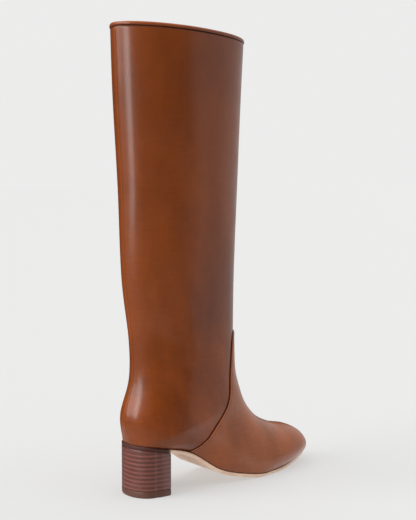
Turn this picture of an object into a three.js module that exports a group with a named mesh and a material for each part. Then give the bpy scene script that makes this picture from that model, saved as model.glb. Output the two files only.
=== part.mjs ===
// Knee-high pull-on boot for the right foot, with a stacked block heel.
// Millimetres, +Z up. The toe points to +X, the outer side of the foot to -Y, and the boot stands on Z = 0.
//
// The shape is a fan of sections. Each section is a plane across the boot that runs from a point on the
// back or sole line (back) to a point on the shin or instep line (front). It is level at the collar, tips
// forward round the ankle and stands nearly upright at the toe. Above the heel a section is a closed
// loop. From the heel to the toe it stops at the feather line, where the sole closes the upper.

import * as THREE from 'three';
import { mergeVertices } from 'three/addons/utils/BufferGeometryUtils.js';

// ---- driving dimensions ---------------------------------------------------------------------------
const WALL = 2.2; // leather and lining of the upper
const GAP = 0.3; // clearance between pieces that meet
const VAMP_THICK = 1.2; // leather of the vamp, which laps over the shaft
const LAP_GAP = 0.4; // clearance under the vamp, whose facets cross those of the upper
const BINDING_WIDE = 3.8; // rolled binding of the collar
const BINDING_HIGH = 3.4;
const SOLE_THICK = 3.6;
const SOLE_MARGIN = 2.4; // the sole stands out past the feather line by this much
const SEAT_MARGIN = 1.0; // the same round the heel seat
const INSOLE_THICK = 2.4;
const INSOLE_SLACK = 1.2; // room between the insole and the walls
const HEEL_LONG = 36; // from the back of the heel to its flat front
const HEEL_TIP_THICK = 6.5;

// One row for each section. back and front are points in side view (x, z). mid is the y of the middle,
// outer and inner are half widths to each side of it. widest is how far along the section the widest
// place lies, backPow and frontPow are the powers of the rounding behind and before it (2 is an
// ellipse, less is more pointed). footOuter and footInner are the half widths at the feather line.
const COLUMNS = ['backX', 'backZ', 'frontX', 'frontZ', 'mid', 'outer', 'inner', 'widest', 'backPow',
  'frontPow', 'footOuter', 'footInner'];
const SECTIONS = {
  collar: [-12, 470, 141, 461, 0, 46, 46, 0.50, 1.85, 2.2, 0, 0],
  calf: [-9.5, 400, 137, 399, 0, 45.5, 45.5, 0.50, 1.85, 2.2, 0, 0],
  shin: [-4.5, 310, 133.5, 315, 0, 42.5, 42.5, 0.50, 1.85, 2.2, 0, 0],
  shinLow: [-1.5, 220, 131, 228, 0, 37.5, 37.5, 0.50, 1.85, 2.2, 0, 0],
  ankle: [6.5, 155, 130.5, 172, 0, 34.5, 34.5, 0.50, 1.85, 2.2, 0, 0],
  ankleLow: [6.5, 115, 130.3, 142, 0, 35.5, 35.5, 0.50, 1.85, 2.2, 0, 0],
  counter: [-3, 80, 131, 118, 0, 39, 38, 0.49, 1.95, 2.2, 0, 0],
  heel: [1.5, 54, 138.5, 96, 0, 40, 39, 0.46, 2.2, 2.1, 0, 0],
  seat: [20, 50.5, 148.5, 78, 1, 38.5, 37, 0.42, 2.2, 2.0, 25, 24],
  waist: [62, 39.5, 161.5, 63.5, 3, 38.5, 36.5, 0.40, 2.2, 2.0, 26, 24],
  arch: [100, 16, 176.5, 54, 5, 40.5, 38.5, 0.36, 2.3, 2.0, 33, 30],
  ball: [146, 4.4, 195, 46.5, 7, 41.5, 40.5, 0.30, 2.4, 2.0, 37.5, 36.5],
  tread: [172, 3.6, 207.5, 43.5, 8, 40, 39, 0.30, 2.4, 2.05, 35.5, 35],
  vamp: [196, 4.3, 218.5, 40.5, 9, 35.5, 35, 0.30, 2.4, 2.1, 29.5, 30.5],
  toe: [220, 7.5, 233, 33.5, 10, 27.6, 26.8, 0.32, 2.4, 2.2, 21, 22.6],
  toeEnd: [237.5, 10.5, 243.5, 22, 10, 15.2, 14.6, 0.35, 2.3, 2.2, 11.8, 12.4],
  tip: [244, 12.5, 246, 14.5, 10, 0, 0, 0.40, 2.2, 2.2, 0, 0],
};
const NAMES = Object.keys(SECTIONS);
const HEEL = NAMES.indexOf('heel'); // the feather line starts here, at the back of the heel
const SEAT = NAMES.indexOf('seat'); // the round of the heel ends here
const TIP = NAMES.indexOf('tip');
const HEEL_ROUND = 25; // half width at which the round of the heel has turned fore and aft
const TOE_ROUND = 34; // the same at the toe

// The seam where the vamp laps the shaft: how far round the boot from the middle of the front (0) to the
// feather line (1), and the section that it crosses there, on the outer and on the inner side.
const SEAM = [
  { around: 0.000, outer: 4.33, inner: 4.33 },
  { around: 0.155, outer: 4.36, inner: 4.36 },
  { around: 0.190, outer: 4.80, inner: 4.80 },
  { around: 0.215, outer: 5.60, inner: 5.55 },
  { around: 0.240, outer: 6.35, inner: 6.30 },
  { around: 0.280, outer: 6.85, inner: 6.80 },
  { around: 0.330, outer: 7.15, inner: 7.10 },
  { around: 0.400, outer: 7.46, inner: 7.38 },
  { around: 0.470, outer: 7.74, inner: 7.60 },
  { around: 0.570, outer: 8.10, inner: 7.85 },
  { around: 0.700, outer: 8.48, inner: 8.05 },
  { around: 0.840, outer: 8.76, inner: 8.15 },
  { around: 1.000, outer: 8.98, inner: 8.20 },
];

const SECTION_STEPS = 17; // facets round each half section
const FINE_STEPS = 60; // points that a half section is measured with
const BINDING_AT = 0.05; // the upper ends this share of a section below the collar

const MATERIALS = {
  leather: new THREE.MeshStandardMaterial({ color: 0x8a4a28, roughness: 0.32, metalness: 0 }),
  vampLeather: new THREE.MeshStandardMaterial({ color: 0x804527, roughness: 0.32, metalness: 0 }),
  binding: new THREE.MeshStandardMaterial({ color: 0x5c2f1c, roughness: 0.4, metalness: 0 }),
  insole: new THREE.MeshStandardMaterial({ color: 0xc9a882, roughness: 0.7, metalness: 0 }),
  soleLeather: new THREE.MeshStandardMaterial({ color: 0xcfa98a, roughness: 0.6, metalness: 0 }),
  stack: new THREE.MeshStandardMaterial({ color: 0x6b3a2e, roughness: 0.45, metalness: 0 }),
  rubber: new THREE.MeshStandardMaterial({ color: 0x4a2a22, roughness: 0.75, metalness: 0 }),
};

// ---- the fan of sections --------------------------------------------------------------------------

/** A value between b and c on a smooth curve through a, b, c and d. */
function smooth(a, b, c, d, u) {
  const bend = (2 * a - 5 * b + 4 * c - d) * u * u + (3 * b - 3 * c + d - a) * u * u * u;
  return b + 0.5 * ((c - a) * u + bend);
}

/** The named sizes of the section at place t, where 0 is the collar and TIP the end of the toe. */
function sectionAt(t) {
  const i = Math.min(Math.floor(t), TIP - 1);
  const u = t - i;
  const row = (k) => SECTIONS[NAMES[k]];
  const section = {};
  COLUMNS.forEach((name, c) => {
    const b = row(i)[c];
    const d = row(i + 1)[c];
    const onHeelRound = i === HEEL && ['backX', 'footOuter', 'footInner'].includes(name);
    if (onHeelRound) {
      const turn = (u * Math.PI) / 2;
      section[name] = b + (d - b) * (name === 'backX' ? 1 - Math.cos(turn) : Math.sin(turn));
      return;
    }
    let before = i > 0 ? row(i - 1)[c] : 2 * b - d;
    let after = i + 2 <= TIP ? row(i + 2)[c] : b;
    if (i === HEEL && name === 'backZ') before = 2 * b - d;
    if (i === HEEL - 1 && ['backX', 'backZ'].includes(name)) after = 2 * d - b;
    if (i === HEEL - 1 && name.startsWith('foot')) after = 0;
    if (i + 2 > TIP && ['outer', 'inner', 'footOuter', 'footInner', 'frontZ'].includes(name)) {
      after = 2 * d - b;
    }
    section[name] = smooth(before, b, d, after, u);
  });
  return section;
}

/** The unit normal of the back or front line in side view, pointing away from the foot. */
function lineNormal(t, end) {
  const step = 0.02;
  const p = sectionAt(Math.max(t - step, 0));
  const q = sectionAt(Math.min(t + step, TIP));
  const dx = q[`${end}X`] - p[`${end}X`];
  const dz = q[`${end}Z`] - p[`${end}Z`];
  const sign = end === 'front' ? -1 : 1;
  const length = Math.hypot(dx, dz);
  return { x: (sign * dz) / length, z: (-sign * dx) / length };
}

/** How far the outline in plan has turned across the foot: 1 along its sides, 0 at heel or toe end. */
function turned(halfWidth, t) {
  return Math.min(1, halfWidth / (t < (HEEL + TIP) / 2 ? HEEL_ROUND : TOE_ROUND));
}

/** The section at t, grown outwards by a distance, or shrunk where the distance is below zero. */
function grownSection(t, by) {
  const section = sectionAt(t);
  const front = lineNormal(t, 'front');
  const grown = { ...section, frontX: section.frontX + by * front.x, frontZ: section.frontZ + by * front.z };
  if (t < HEEL) {
    const back = lineNormal(t, 'back');
    grown.backX += by * back.x;
    grown.backZ += by * back.z * (HEEL - t > 1 ? 1 : HEEL - t);
    grown.outer += by;
    grown.inner += by;
    return grown;
  }
  const onHeel = t < (HEEL + TIP) / 2;
  const side = turned(section.footOuter, t);
  grown.backX += by * Math.sqrt(1 - side * side) * (onHeel ? -1 : 1);
  grown.footOuter += by * side;
  grown.footInner += by * turned(section.footInner, t);
  grown.outer += by * (onHeel ? 1 : turned(section.outer, t));
  grown.inner += by * (onHeel ? 1 : turned(section.inner, t));
  return grown;
}

/** Points of half a section as { along, out }, evenly spaced from the front to the feather line. */
function halfSection(section, width, foot) {
  const high = Math.hypot(section.frontX - section.backX, section.frontZ - section.backZ);
  const widestAt = section.widest * high;
  const half = Math.max(width, 1e-6);
  const cut = Math.min(Math.max(foot, 0) / half, 0.995);
  const reach = widestAt * (1 - cut ** section.backPow) ** (-1 / section.backPow);
  const cutAngle = Math.asin(Math.min(1, (widestAt / reach) ** (section.backPow / 2)));
  const fine = [];
  for (let k = 0; k <= FINE_STEPS; k += 1) {
    const a = (1 - k / FINE_STEPS) * (Math.PI / 2);
    fine.push({
      along: widestAt + (high - widestAt) * Math.sin(a) ** (2 / section.frontPow),
      out: half * Math.max(Math.cos(a), 0) ** (2 / section.frontPow),
    });
  }
  for (let k = 1; k <= FINE_STEPS; k += 1) {
    const a = (k / FINE_STEPS) * cutAngle;
    fine.push({
      along: widestAt - reach * Math.sin(a) ** (2 / section.backPow),
      out: half * Math.max(Math.cos(a), 0) ** (2 / section.backPow),
    });
  }
  const run = [0];
  for (let k = 1; k < fine.length; k += 1) {
    run.push(run[k - 1] + Math.hypot(fine[k].along - fine[k - 1].along, fine[k].out - fine[k - 1].out));
  }
  const total = run[run.length - 1];
  return (around) => {
    const want = around * total;
    let k = 1;
    while (k < run.length - 1 && run[k] < want) k += 1;
    const u = total > 0 ? (want - run[k - 1]) / Math.max(run[k] - run[k - 1], 1e-9) : 0;
    return {
      along: fine[k - 1].along + u * (fine[k].along - fine[k - 1].along),
      out: fine[k - 1].out + u * (fine[k].out - fine[k - 1].out),
    };
  };
}

/** A point of the grown surface: side runs from -1 (outer feather) over 0 (front) to 1 (inner feather). */
function surfacePoint(t, side, by) {
  const section = grownSection(t, by);
  const isOuter = side < 0;
  const half = halfSection(section, isOuter ? section.outer : section.inner,
    isOuter ? section.footOuter : section.footInner);
  const { along, out } = half(Math.abs(side));
  const dx = section.frontX - section.backX;
  const dz = section.frontZ - section.backZ;
  const high = Math.hypot(dx, dz);
  return [
    section.backX + (dx * along) / high,
    section.mid + (isOuter ? -out : out),
    section.backZ + (dz * along) / high,
  ];
}

// ---- solids from grids ----------------------------------------------------------------------------

/** Evenly spaced values from a to b, with both ends. */
function spaced(a, b, steps) {
  return Array.from({ length: steps + 1 }, (_, k) => a + ((b - a) * k) / steps);
}

/** A closed body from triangles given by their corners, with doubled corners merged. */
function bodyFrom(triangles) {
  const geometry = new THREE.BufferGeometry();
  geometry.setAttribute('position', new THREE.Float32BufferAttribute(triangles.flat(2), 3));
  const merged = mergeVertices(geometry, 1e-4);
  const index = Array.from(merged.index.array);
  const kept = [];
  for (let k = 0; k < index.length; k += 3) {
    const [a, b, c] = index.slice(k, k + 3);
    if (a !== b && b !== c && a !== c) kept.push(a, b, c);
  }
  merged.setIndex(kept);
  merged.computeVertexNormals();
  return merged;
}

/** Two triangles between two pairs of neighbouring points. */
function quad(a, b, c, d) {
  return [[a, b, c], [a, c, d]];
}

/** The quads of a grid of points, turned over if the grid is an inside face. */
function gridFaces(grid, turnOver) {
  const faces = [];
  for (let r = 0; r + 1 < grid.length; r += 1) {
    for (let c = 0; c + 1 < grid[r].length; c += 1) {
      const corners = [grid[r][c], grid[r + 1][c], grid[r + 1][c + 1], grid[r][c + 1]];
      faces.push(...quad(...(turnOver ? corners.reverse() : corners)));
    }
  }
  return faces;
}

/** A wall between an outside and an inside grid, open underneath from the row openFrom on. */
function shell(outside, inside, openFrom) {
  const faces = [...gridFaces(outside, false), ...gridFaces(inside, true)];
  const last = outside[0].length - 1;
  for (let c = 0; c < last; c += 1) {
    faces.push(...quad(outside[0][c], outside[0][c + 1], inside[0][c + 1], inside[0][c]));
  }
  for (let r = openFrom; r + 1 < outside.length; r += 1) {
    faces.push(...quad(outside[r + 1][0], outside[r][0], inside[r][0], inside[r + 1][0]));
    faces.push(...quad(outside[r][last], outside[r + 1][last], inside[r + 1][last], inside[r][last]));
  }
  return bodyFrom(faces);
}

/** A plate across the foot. Each station has its x, its right and left edge, and its top and bottom z. */
function plate(stations, across) {
  const layer = (level) => stations.map((s) => (
    spaced(s.right, s.left, across).map((y) => [s.x, y, s[level]])));
  const top = layer('top');
  const bottom = layer('bottom');
  const faces = [...gridFaces(top, false), ...gridFaces(bottom, true)];
  for (let r = 0; r + 1 < stations.length; r += 1) {
    faces.push(...quad(top[r + 1][0], top[r][0], bottom[r][0], bottom[r + 1][0]));
    faces.push(...quad(top[r][across], top[r + 1][across], bottom[r + 1][across], bottom[r][across]));
  }
  for (const [r, flip] of [[0, false], [stations.length - 1, true]]) {
    for (let c = 0; c < across; c += 1) {
      const corners = [top[r][c], top[r][c + 1], bottom[r][c + 1], bottom[r][c]];
      faces.push(...quad(...(flip ? corners.reverse() : corners)));
    }
  }
  return bodyFrom(faces);
}

// ---- pieces ---------------------------------------------------------------------------------------

/** Columns of a surface from the outer feather line over the front to the inner one, closer beside the
 * tongue of the vamp, where its seam runs up the boot. */
const sides = [...spaced(-1, 1, 2 * SECTION_STEPS), -0.22, -0.19, 0.19, 0.22].sort((a, b) => a - b);

/** Rows of the upper, closer together where the boot bends. */
const upperRows = [
  ...spaced(BINDING_AT, 3, 5),
  ...spaced(3, HEEL, 12).slice(1),
  ...spaced(HEEL, SEAT, 5).slice(1),
  ...spaced(SEAT, TIP - 2, 12).slice(1),
  ...spaced(TIP - 2, TIP, 8).slice(1),
];
const footRows = upperRows.filter((t) => t >= HEEL);

/** The upper: one hollow wall from the collar to the toe, open at the collar and underneath. */
function upper() {
  const layer = (by) => upperRows.map((t) => sides.map((s) => surfacePoint(t, s, by)));
  return shell(layer(0), layer(-WALL), upperRows.indexOf(HEEL));
}

/** A point on the straight line between the two rows of the upper that t lies between. */
function facetPoint(t, side, by) {
  const k = Math.max(1, upperRows.findIndex((row) => row >= t));
  const [a, b] = [upperRows[k - 1], upperRows[k]];
  const from = surfacePoint(a, side, by);
  const to = surfacePoint(b, side, by);
  return from.map((value, axis) => value + ((to[axis] - value) * (t - a)) / (b - a));
}

/** The section that the vamp seam crosses at a place round the boot. */
function seamAt(side) {
  const around = Math.abs(side);
  const column = side < 0 ? 'outer' : 'inner';
  const k = Math.max(1, SEAM.findIndex((row) => row.around >= around));
  const [a, b] = [SEAM[k - 1], SEAM[k]];
  return a[column] + ((b[column] - a[column]) * (around - a.around)) / (b.around - a.around);
}

/** The vamp: the leather that laps over the shaft, from the peaked seam to the toe. */
function vamp() {
  const peak = seamAt(0);
  const rows = [peak, ...upperRows.filter((t) => t > peak)];
  const layer = (by) => rows.map((t) => sides.map((s) => facetPoint(Math.max(t, seamAt(s)), s, by)));
  return shell(layer(LAP_GAP + VAMP_THICK), layer(LAP_GAP), 0);
}

/** The binding: a rolled strip of leather on the edge of the collar. */
function binding() {
  const half = BINDING_WIDE / 2;
  const profile = [[-half, 0], [-half, 0.45], [-0.7 * half, 0.83], [0, 1], [0.7 * half, 0.83], [half, 0.45],
    [half, 0]].map(([out, up]) => [out - WALL / 2, up * BINDING_HIGH]);
  const ring = sides.map((s) => profile.map(([out, up]) => {
    const [x, y, z] = surfacePoint(BINDING_AT, s, out);
    return [x, y, z + GAP + up];
  }));
  const closed = ring.map((loop) => [...loop, loop[0]]);
  return bodyFrom(gridFaces(closed, true));
}

/** Stations of a plate that follows the feather line, grown by a margin, between two drops below it. */
function footStations(marginAt, topDrop, bottomDrop) {
  return footRows.map((t) => {
    const grown = grownSection(t, marginAt(t));
    const steep = 1 / Math.abs(lineNormal(Math.max(t, HEEL + 0.1), 'back').z);
    return {
      t,
      x: grown.backX,
      right: grown.mid - grown.footOuter,
      left: grown.mid + grown.footInner,
      top: grown.backZ - topDrop * steep,
      bottom: grown.backZ - bottomDrop * steep,
    };
  });
}

/** The margin of the sole: narrow round the heel seat, wider from the waist on. */
function soleMargin(t) {
  return THREE.MathUtils.lerp(SEAT_MARGIN, SOLE_MARGIN, THREE.MathUtils.smoothstep(t, SEAT, SEAT + 1));
}

const soleStations = footStations(soleMargin, GAP, GAP + SOLE_THICK).map((s) => (
  { ...s, bottom: Math.max(0, s.bottom) }));

/** The outsole: heel seat, arch, tread that lies flat on the floor, and toe spring. */
function outsole() {
  return plate(soleStations, 6);
}

/** The insole, which lies on the outsole between the walls of the upper. */
function insole() {
  return plate(footStations(() => -WALL - INSOLE_SLACK, -INSOLE_THICK, 0), 4);
}

/** A layer of the heel: a block with the round of the heel seat and a flat front, the breast. */
function heelLayer(topOf, bottom) {
  const breast = soleStations[0].x + HEEL_LONG;
  const k = soleStations.findIndex((s) => s.x > breast);
  const [a, b] = [soleStations[k - 1], soleStations[k]];
  const u = (breast - a.x) / (b.x - a.x);
  const last = {};
  for (const key of Object.keys(a)) last[key] = a[key] + (b[key] - a[key]) * u;
  return plate([...soleStations.slice(0, k), last].map((s) => ({ ...s, top: topOf(s), bottom })), 4);
}

/** The stack of leather lifts between the heel seat and the heel tip. */
function heelStack() {
  return heelLayer((s) => s.bottom - GAP, HEEL_TIP_THICK + GAP);
}

/** The heel tip, which stands on the floor. */
function heelTip() {
  return heelLayer(() => HEEL_TIP_THICK, 0);
}

// ---- the boot -------------------------------------------------------------------------------------

const boot = new THREE.Group();
const pieces = [
  ['upper', upper(), MATERIALS.leather],
  ['vamp', vamp(), MATERIALS.vampLeather],
  ['top_binding', binding(), MATERIALS.binding],
  ['insole', insole(), MATERIALS.insole],
  ['outsole', outsole(), MATERIALS.soleLeather],
  ['heel_stack', heelStack(), MATERIALS.stack],
  ['heel_tip', heelTip(), MATERIALS.rubber],
];
for (const [name, geometry, material] of pieces) {
  const mesh = new THREE.Mesh(geometry, material);
  mesh.name = name;
  boot.add(mesh);
}

// The origin is in the middle of the boot's box, on the floor.
const middle = new THREE.Box3().setFromObject(boot).getCenter(new THREE.Vector3());
boot.position.set(-middle.x, -middle.y, 0);

export default boot;
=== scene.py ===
"""Knee-high pull-on boot for the right foot, with a stacked block heel.

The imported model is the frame: metres, +Z up, toe to +X, the outer side of the foot to -Y. Sizes below
are millimetres until a piece is put into its mesh. Every leather piece lies on one form, the last,
which is a fan of sections from the collar to the toe. A place on it is given by two numbers:
t, the section (0 at the collar, 16 at the end of the toe), and side (-1 at the outer feather line or
the back seam, 0 down the middle of the front, +1 at the inner feather line or the back seam).
"""

import logging
import math
from dataclasses import dataclass, field
from enum import Enum, IntEnum

import bmesh
import bpy
import numpy as np
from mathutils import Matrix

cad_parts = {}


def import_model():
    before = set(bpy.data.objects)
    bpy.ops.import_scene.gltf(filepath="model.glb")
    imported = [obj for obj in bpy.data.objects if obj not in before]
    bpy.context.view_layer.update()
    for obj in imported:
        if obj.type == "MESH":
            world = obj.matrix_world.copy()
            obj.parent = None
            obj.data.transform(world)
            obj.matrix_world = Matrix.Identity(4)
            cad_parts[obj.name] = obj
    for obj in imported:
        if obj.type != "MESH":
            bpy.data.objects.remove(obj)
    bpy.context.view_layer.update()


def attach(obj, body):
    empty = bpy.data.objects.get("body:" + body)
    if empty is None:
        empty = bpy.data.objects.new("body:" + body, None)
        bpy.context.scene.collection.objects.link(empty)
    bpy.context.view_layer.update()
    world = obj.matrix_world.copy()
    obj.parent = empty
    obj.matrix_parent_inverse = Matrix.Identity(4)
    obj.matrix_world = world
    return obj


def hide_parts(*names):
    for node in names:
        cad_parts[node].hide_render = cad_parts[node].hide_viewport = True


MM = 0.001
FAR = 99.0  # mm, the distance given to points that don't lie beside a seam
LOG = logging.getLogger("boot")
Array = np.ndarray
Triple = tuple[float, float, float]
Socket = bpy.types.NodeSocket


class Size(IntEnum):
    """The sizes of a section, in the order of the rows of the last."""

    BACK_X = 0
    BACK_Z = 1
    FRONT_X = 2
    FRONT_Z = 3
    MID = 4
    OUTER = 5
    INNER = 6
    WIDEST = 7
    BACK_POW = 8
    FRONT_POW = 9
    FOOT_OUTER = 10
    FOOT_INNER = 11


class Mark(Enum):
    """Names of the point attributes that carry burnish, stains with painted shade, and cut edges with painted
    highlights into the finishes.
    """

    # Dark lines: stains, and painted shade in grooves and where parts meet.
    STAIN_AND_SHADE = "stain_and_shade"
    # Light lines: the vamp's lighter cut edge, and painted highlights along it and along the back lap.
    CUT_EDGE_AND_HIGHLIGHT = "cut_edge_and_highlight"
    BURNISH = "burnish"


# ---- the form -------------------------------------------------------------------------------------


@dataclass(frozen=True)
class Last:
    """The form of the foot and leg as a fan of sections.

    A row gives the back and front point in side view (x, z), the y of the middle, the half widths to
    the outer and inner side, how far along the section the widest place lies, the powers of the
    rounding behind and before it, and the half widths at the feather line.
    """

    rows: tuple[tuple[float, ...], ...] = (
        (-12, 470, 141, 461, 0, 46, 46, 0.50, 1.85, 2.2, 0, 0),  # collar
        (-9.5, 400, 137, 399, 0, 45.5, 45.5, 0.50, 1.85, 2.2, 0, 0),  # calf
        (-4.5, 310, 133.5, 315, 0, 42.5, 42.5, 0.50, 1.85, 2.2, 0, 0),  # shin
        (-1.5, 220, 131, 228, 0, 37.5, 37.5, 0.50, 1.85, 2.2, 0, 0),  # low shin
        (6.5, 155, 130.5, 172, 0, 34.5, 34.5, 0.50, 1.85, 2.2, 0, 0),  # ankle
        (6.5, 115, 130.3, 142, 0, 35.5, 35.5, 0.50, 1.85, 2.2, 0, 0),  # low ankle
        (-3, 80, 131, 118, 0, 39, 38, 0.49, 1.95, 2.2, 0, 0),  # counter
        (1.5, 54, 138.5, 96, 0, 40, 39, 0.46, 2.2, 2.1, 0, 0),  # heel
        (20, 50.5, 148.5, 78, 1, 38.5, 37, 0.42, 2.2, 2.0, 25, 24),  # seat
        (62, 39.5, 161.5, 63.5, 3, 38.5, 36.5, 0.40, 2.2, 2.0, 26, 24),  # waist
        (100, 16, 176.5, 54, 5, 40.5, 38.5, 0.36, 2.3, 2.0, 33, 30),  # arch
        (146, 4.4, 195, 46.5, 7, 41.5, 40.5, 0.30, 2.4, 2.0, 37.5, 36.5),  # ball
        (172, 3.6, 207.5, 43.5, 8, 40, 39, 0.30, 2.4, 2.05, 35.5, 35),  # tread
        (196, 4.3, 218.5, 40.5, 9, 35.5, 35, 0.30, 2.4, 2.1, 29.5, 30.5),  # vamp
        (220, 7.5, 233, 33.5, 10, 27.6, 26.8, 0.32, 2.4, 2.2, 21, 22.6),  # toe
        (237.5, 10.5, 243.5, 22, 10, 15.2, 14.6, 0.35, 2.3, 2.2, 11.8, 12.4),  # end of toe
        (244, 12.5, 246, 14.5, 10, 0, 0, 0.40, 2.2, 2.2, 0, 0),  # tip
    )
    origin: Triple = (117.461, 1.301, 0.0)  # of the frame, in the last's own place
    collar: float = 0.05
    heel: int = 7
    seat: int = 8
    tip: int = 16
    heel_round: float = 25.0
    toe_round: float = 34.0
    walk_steps: int = 40
    chunk: int = 6000

    def section(self, t: Array) -> Array:
        """Sizes of the sections at t: a smooth cubic through the rows, a quarter circle at the heel.

        Args:
            t: Places along the fan, in an array of any shape.

        Returns:
            The same shape with one more axis for the twelve sizes.
        """
        table = np.array(self.rows, float)
        t = np.asarray(t, float)
        i = np.clip(np.floor(t).astype(int), 0, self.tip - 1)
        u = (t - i)[..., None]
        b, d = table[i], table[i + 1]
        before = np.where((i > 0)[..., None], table[np.maximum(i - 1, 0)], 2 * b - d)
        after = np.where((i + 2 <= self.tip)[..., None], table[np.minimum(i + 2, self.tip)], b)
        widths = [Size.OUTER, Size.INNER, Size.FOOT_OUTER, Size.FOOT_INNER]
        feet = [Size.FOOT_OUTER, Size.FOOT_INNER]
        straight = 2 * b - d
        ahead = 2 * d - b
        at_heel, at_counter, at_end = i == self.heel, i == self.heel - 1, i + 2 > self.tip
        before[..., Size.BACK_Z] = np.where(at_heel, straight[..., Size.BACK_Z], before[..., Size.BACK_Z])
        for size in (Size.BACK_X, Size.BACK_Z):
            after[..., size] = np.where(at_counter, ahead[..., size], after[..., size])
        for size in feet:
            after[..., size] = np.where(at_counter, 0.0, after[..., size])
        for size in [*widths, Size.FRONT_Z]:
            after[..., size] = np.where(at_end, ahead[..., size], after[..., size])
        bend = (2 * before - 5 * b + 4 * d - after) * u**2 + (3 * b - 3 * d + after - before) * u**3
        found = b + 0.5 * ((d - before) * u + bend)
        turn = u[..., 0] * math.pi / 2
        for size, share in ((Size.BACK_X, 1 - np.cos(turn)), *((s, np.sin(turn)) for s in feet)):
            on_round = b[..., size] + (d - b)[..., size] * share
            found[..., size] = np.where(at_heel, on_round, found[..., size])
        return found

    def line_normal(self, t: Array, x: Size, z: Size, sign: float) -> tuple[Array, Array]:
        """Normal of the back or front line in side view, square to its chord over a short step.

        Args:
            t: Places along the fan.
            x: The size that holds the line's x.
            z: The size that holds its z.
            sign: -1 for the front line, +1 for the back line, so that it points out of the boot.

        Returns:
            The x and z of the unit normal.
        """
        step = 0.02
        low, high = self.section(np.maximum(t - step, 0)), self.section(np.minimum(t + step, self.tip))
        dx, dz = high[..., x] - low[..., x], high[..., z] - low[..., z]
        long = np.hypot(dx, dz)
        return sign * dz / long, -sign * dx / long

    def turned(self, half: Array, t: Array) -> Array:
        """How far the outline in plan has turned: 1 along the sides, 0 at the end of heel or toe."""
        middle = (self.heel + self.tip) / 2
        return np.minimum(1.0, half / np.where(t < middle, self.heel_round, self.toe_round))

    def grown(self, t: Array, by: Array) -> Array:
        """Sections grown outwards: the front and back points along their normals, the widths sideways.

        Args:
            t: Places along the fan.
            by: Distance outwards, below zero to shrink.

        Returns:
            The grown sections.
        """
        plain = self.section(t)
        s = plain.copy()
        front = self.line_normal(t, Size.FRONT_X, Size.FRONT_Z, -1)
        back = self.line_normal(t, Size.BACK_X, Size.BACK_Z, 1)
        leg = t < self.heel
        on_heel = t < (self.heel + self.tip) / 2
        round_side = self.turned(plain[..., Size.FOOT_OUTER], t)
        ends = np.sqrt(np.maximum(1 - round_side**2, 0)) * np.where(on_heel, -1, 1)
        s[..., Size.FRONT_X] += by * front[0]
        s[..., Size.FRONT_Z] += by * front[1]
        s[..., Size.BACK_X] += by * np.where(leg, back[0], ends)
        s[..., Size.BACK_Z] += by * np.where(leg, back[1] * np.clip(self.heel - t, 0, 1), 0)
        s[..., Size.FOOT_OUTER] += by * np.where(leg, 0, round_side)
        s[..., Size.FOOT_INNER] += by * np.where(leg, 0, self.turned(plain[..., Size.FOOT_INNER], t))
        for size in (Size.OUTER, Size.INNER):
            s[..., size] += by * np.where(leg | on_heel, 1, self.turned(plain[..., size], t))
        return s

    def _walk(self, t: Array, side: Array, by: Array) -> Array:
        """Points for flat arrays of places; see skin.

        Args:
            t: Places along the fan, in one row.
            side: Places round the sections.
            by: Distances outwards, in mm.

        Returns:
            One row of x, y and z for each place; skin tells how they lie.
        """
        s = self.grown(t, by)
        outer = side < 0
        half = np.maximum(np.where(outer, s[:, Size.OUTER], s[:, Size.INNER]), 1e-6)
        foot = np.maximum(np.where(outer, s[:, Size.FOOT_OUTER], s[:, Size.FOOT_INNER]), 0)
        dx = s[:, Size.FRONT_X] - s[:, Size.BACK_X]
        dz = s[:, Size.FRONT_Z] - s[:, Size.BACK_Z]
        high = np.hypot(dx, dz)
        widest = s[:, Size.WIDEST] * high
        back_pow, front_pow = s[:, Size.BACK_POW], s[:, Size.FRONT_POW]
        cut = np.clip(foot / half, 0, 0.995)
        reach = widest * (1 - cut**back_pow) ** (-1 / back_pow)
        cut_angle = np.arcsin(np.minimum(1, (widest / reach) ** (back_pow / 2)))

        def outline(walk: Array, axis: tuple) -> tuple[Array, Array]:
            """Half a section at 0 (front) to 1 (widest) to 2 (feather): sine and cosine to a power.

            Args:
                walk: Places on it.
                axis: Index that lines the sizes up with them.

            Returns:
                How far back to front, and how far out, each place lies.
            """
            ahead = walk < 1
            angle = np.where(ahead, (1 - walk) * math.pi / 2, (walk - 1) * cut_angle[axis])
            power = 2 / np.where(ahead, front_pow[axis], back_pow[axis])
            run = np.where(ahead, (high - widest)[axis], -reach[axis])
            along = widest[axis] + run * np.maximum(np.sin(angle), 0) ** power
            return along, half[axis] * np.maximum(np.cos(angle), 0) ** power

        steps = np.linspace(0, 2, 2 * self.walk_steps + 1)
        along, out = outline(np.broadcast_to(steps, (len(t), len(steps))), (slice(None), None))
        run = np.cumsum(np.hypot(np.diff(along, axis=1), np.diff(out, axis=1)), axis=1)
        run = np.concatenate([np.zeros((len(t), 1)), run], axis=1)
        want = np.minimum(np.abs(side), 1) * run[:, -1]
        k = np.clip((run < want[:, None]).sum(1), 1, len(steps) - 1)
        below = np.take_along_axis(run, k[:, None] - 1, 1)[:, 0]
        above = np.take_along_axis(run, k[:, None], 1)[:, 0]
        share = (want - below) / np.maximum(above - below, 1e-9)
        along, out = outline(steps[k - 1] + np.clip(share, 0, 1) * (steps[k] - steps[k - 1]), (slice(None),))
        return np.stack([
            s[:, Size.BACK_X] + dx * along / high,
            s[:, Size.MID] + np.where(outer, -out, out),
            s[:, Size.BACK_Z] + dz * along / high,
        ], axis=1) - np.array(self.origin)

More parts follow.
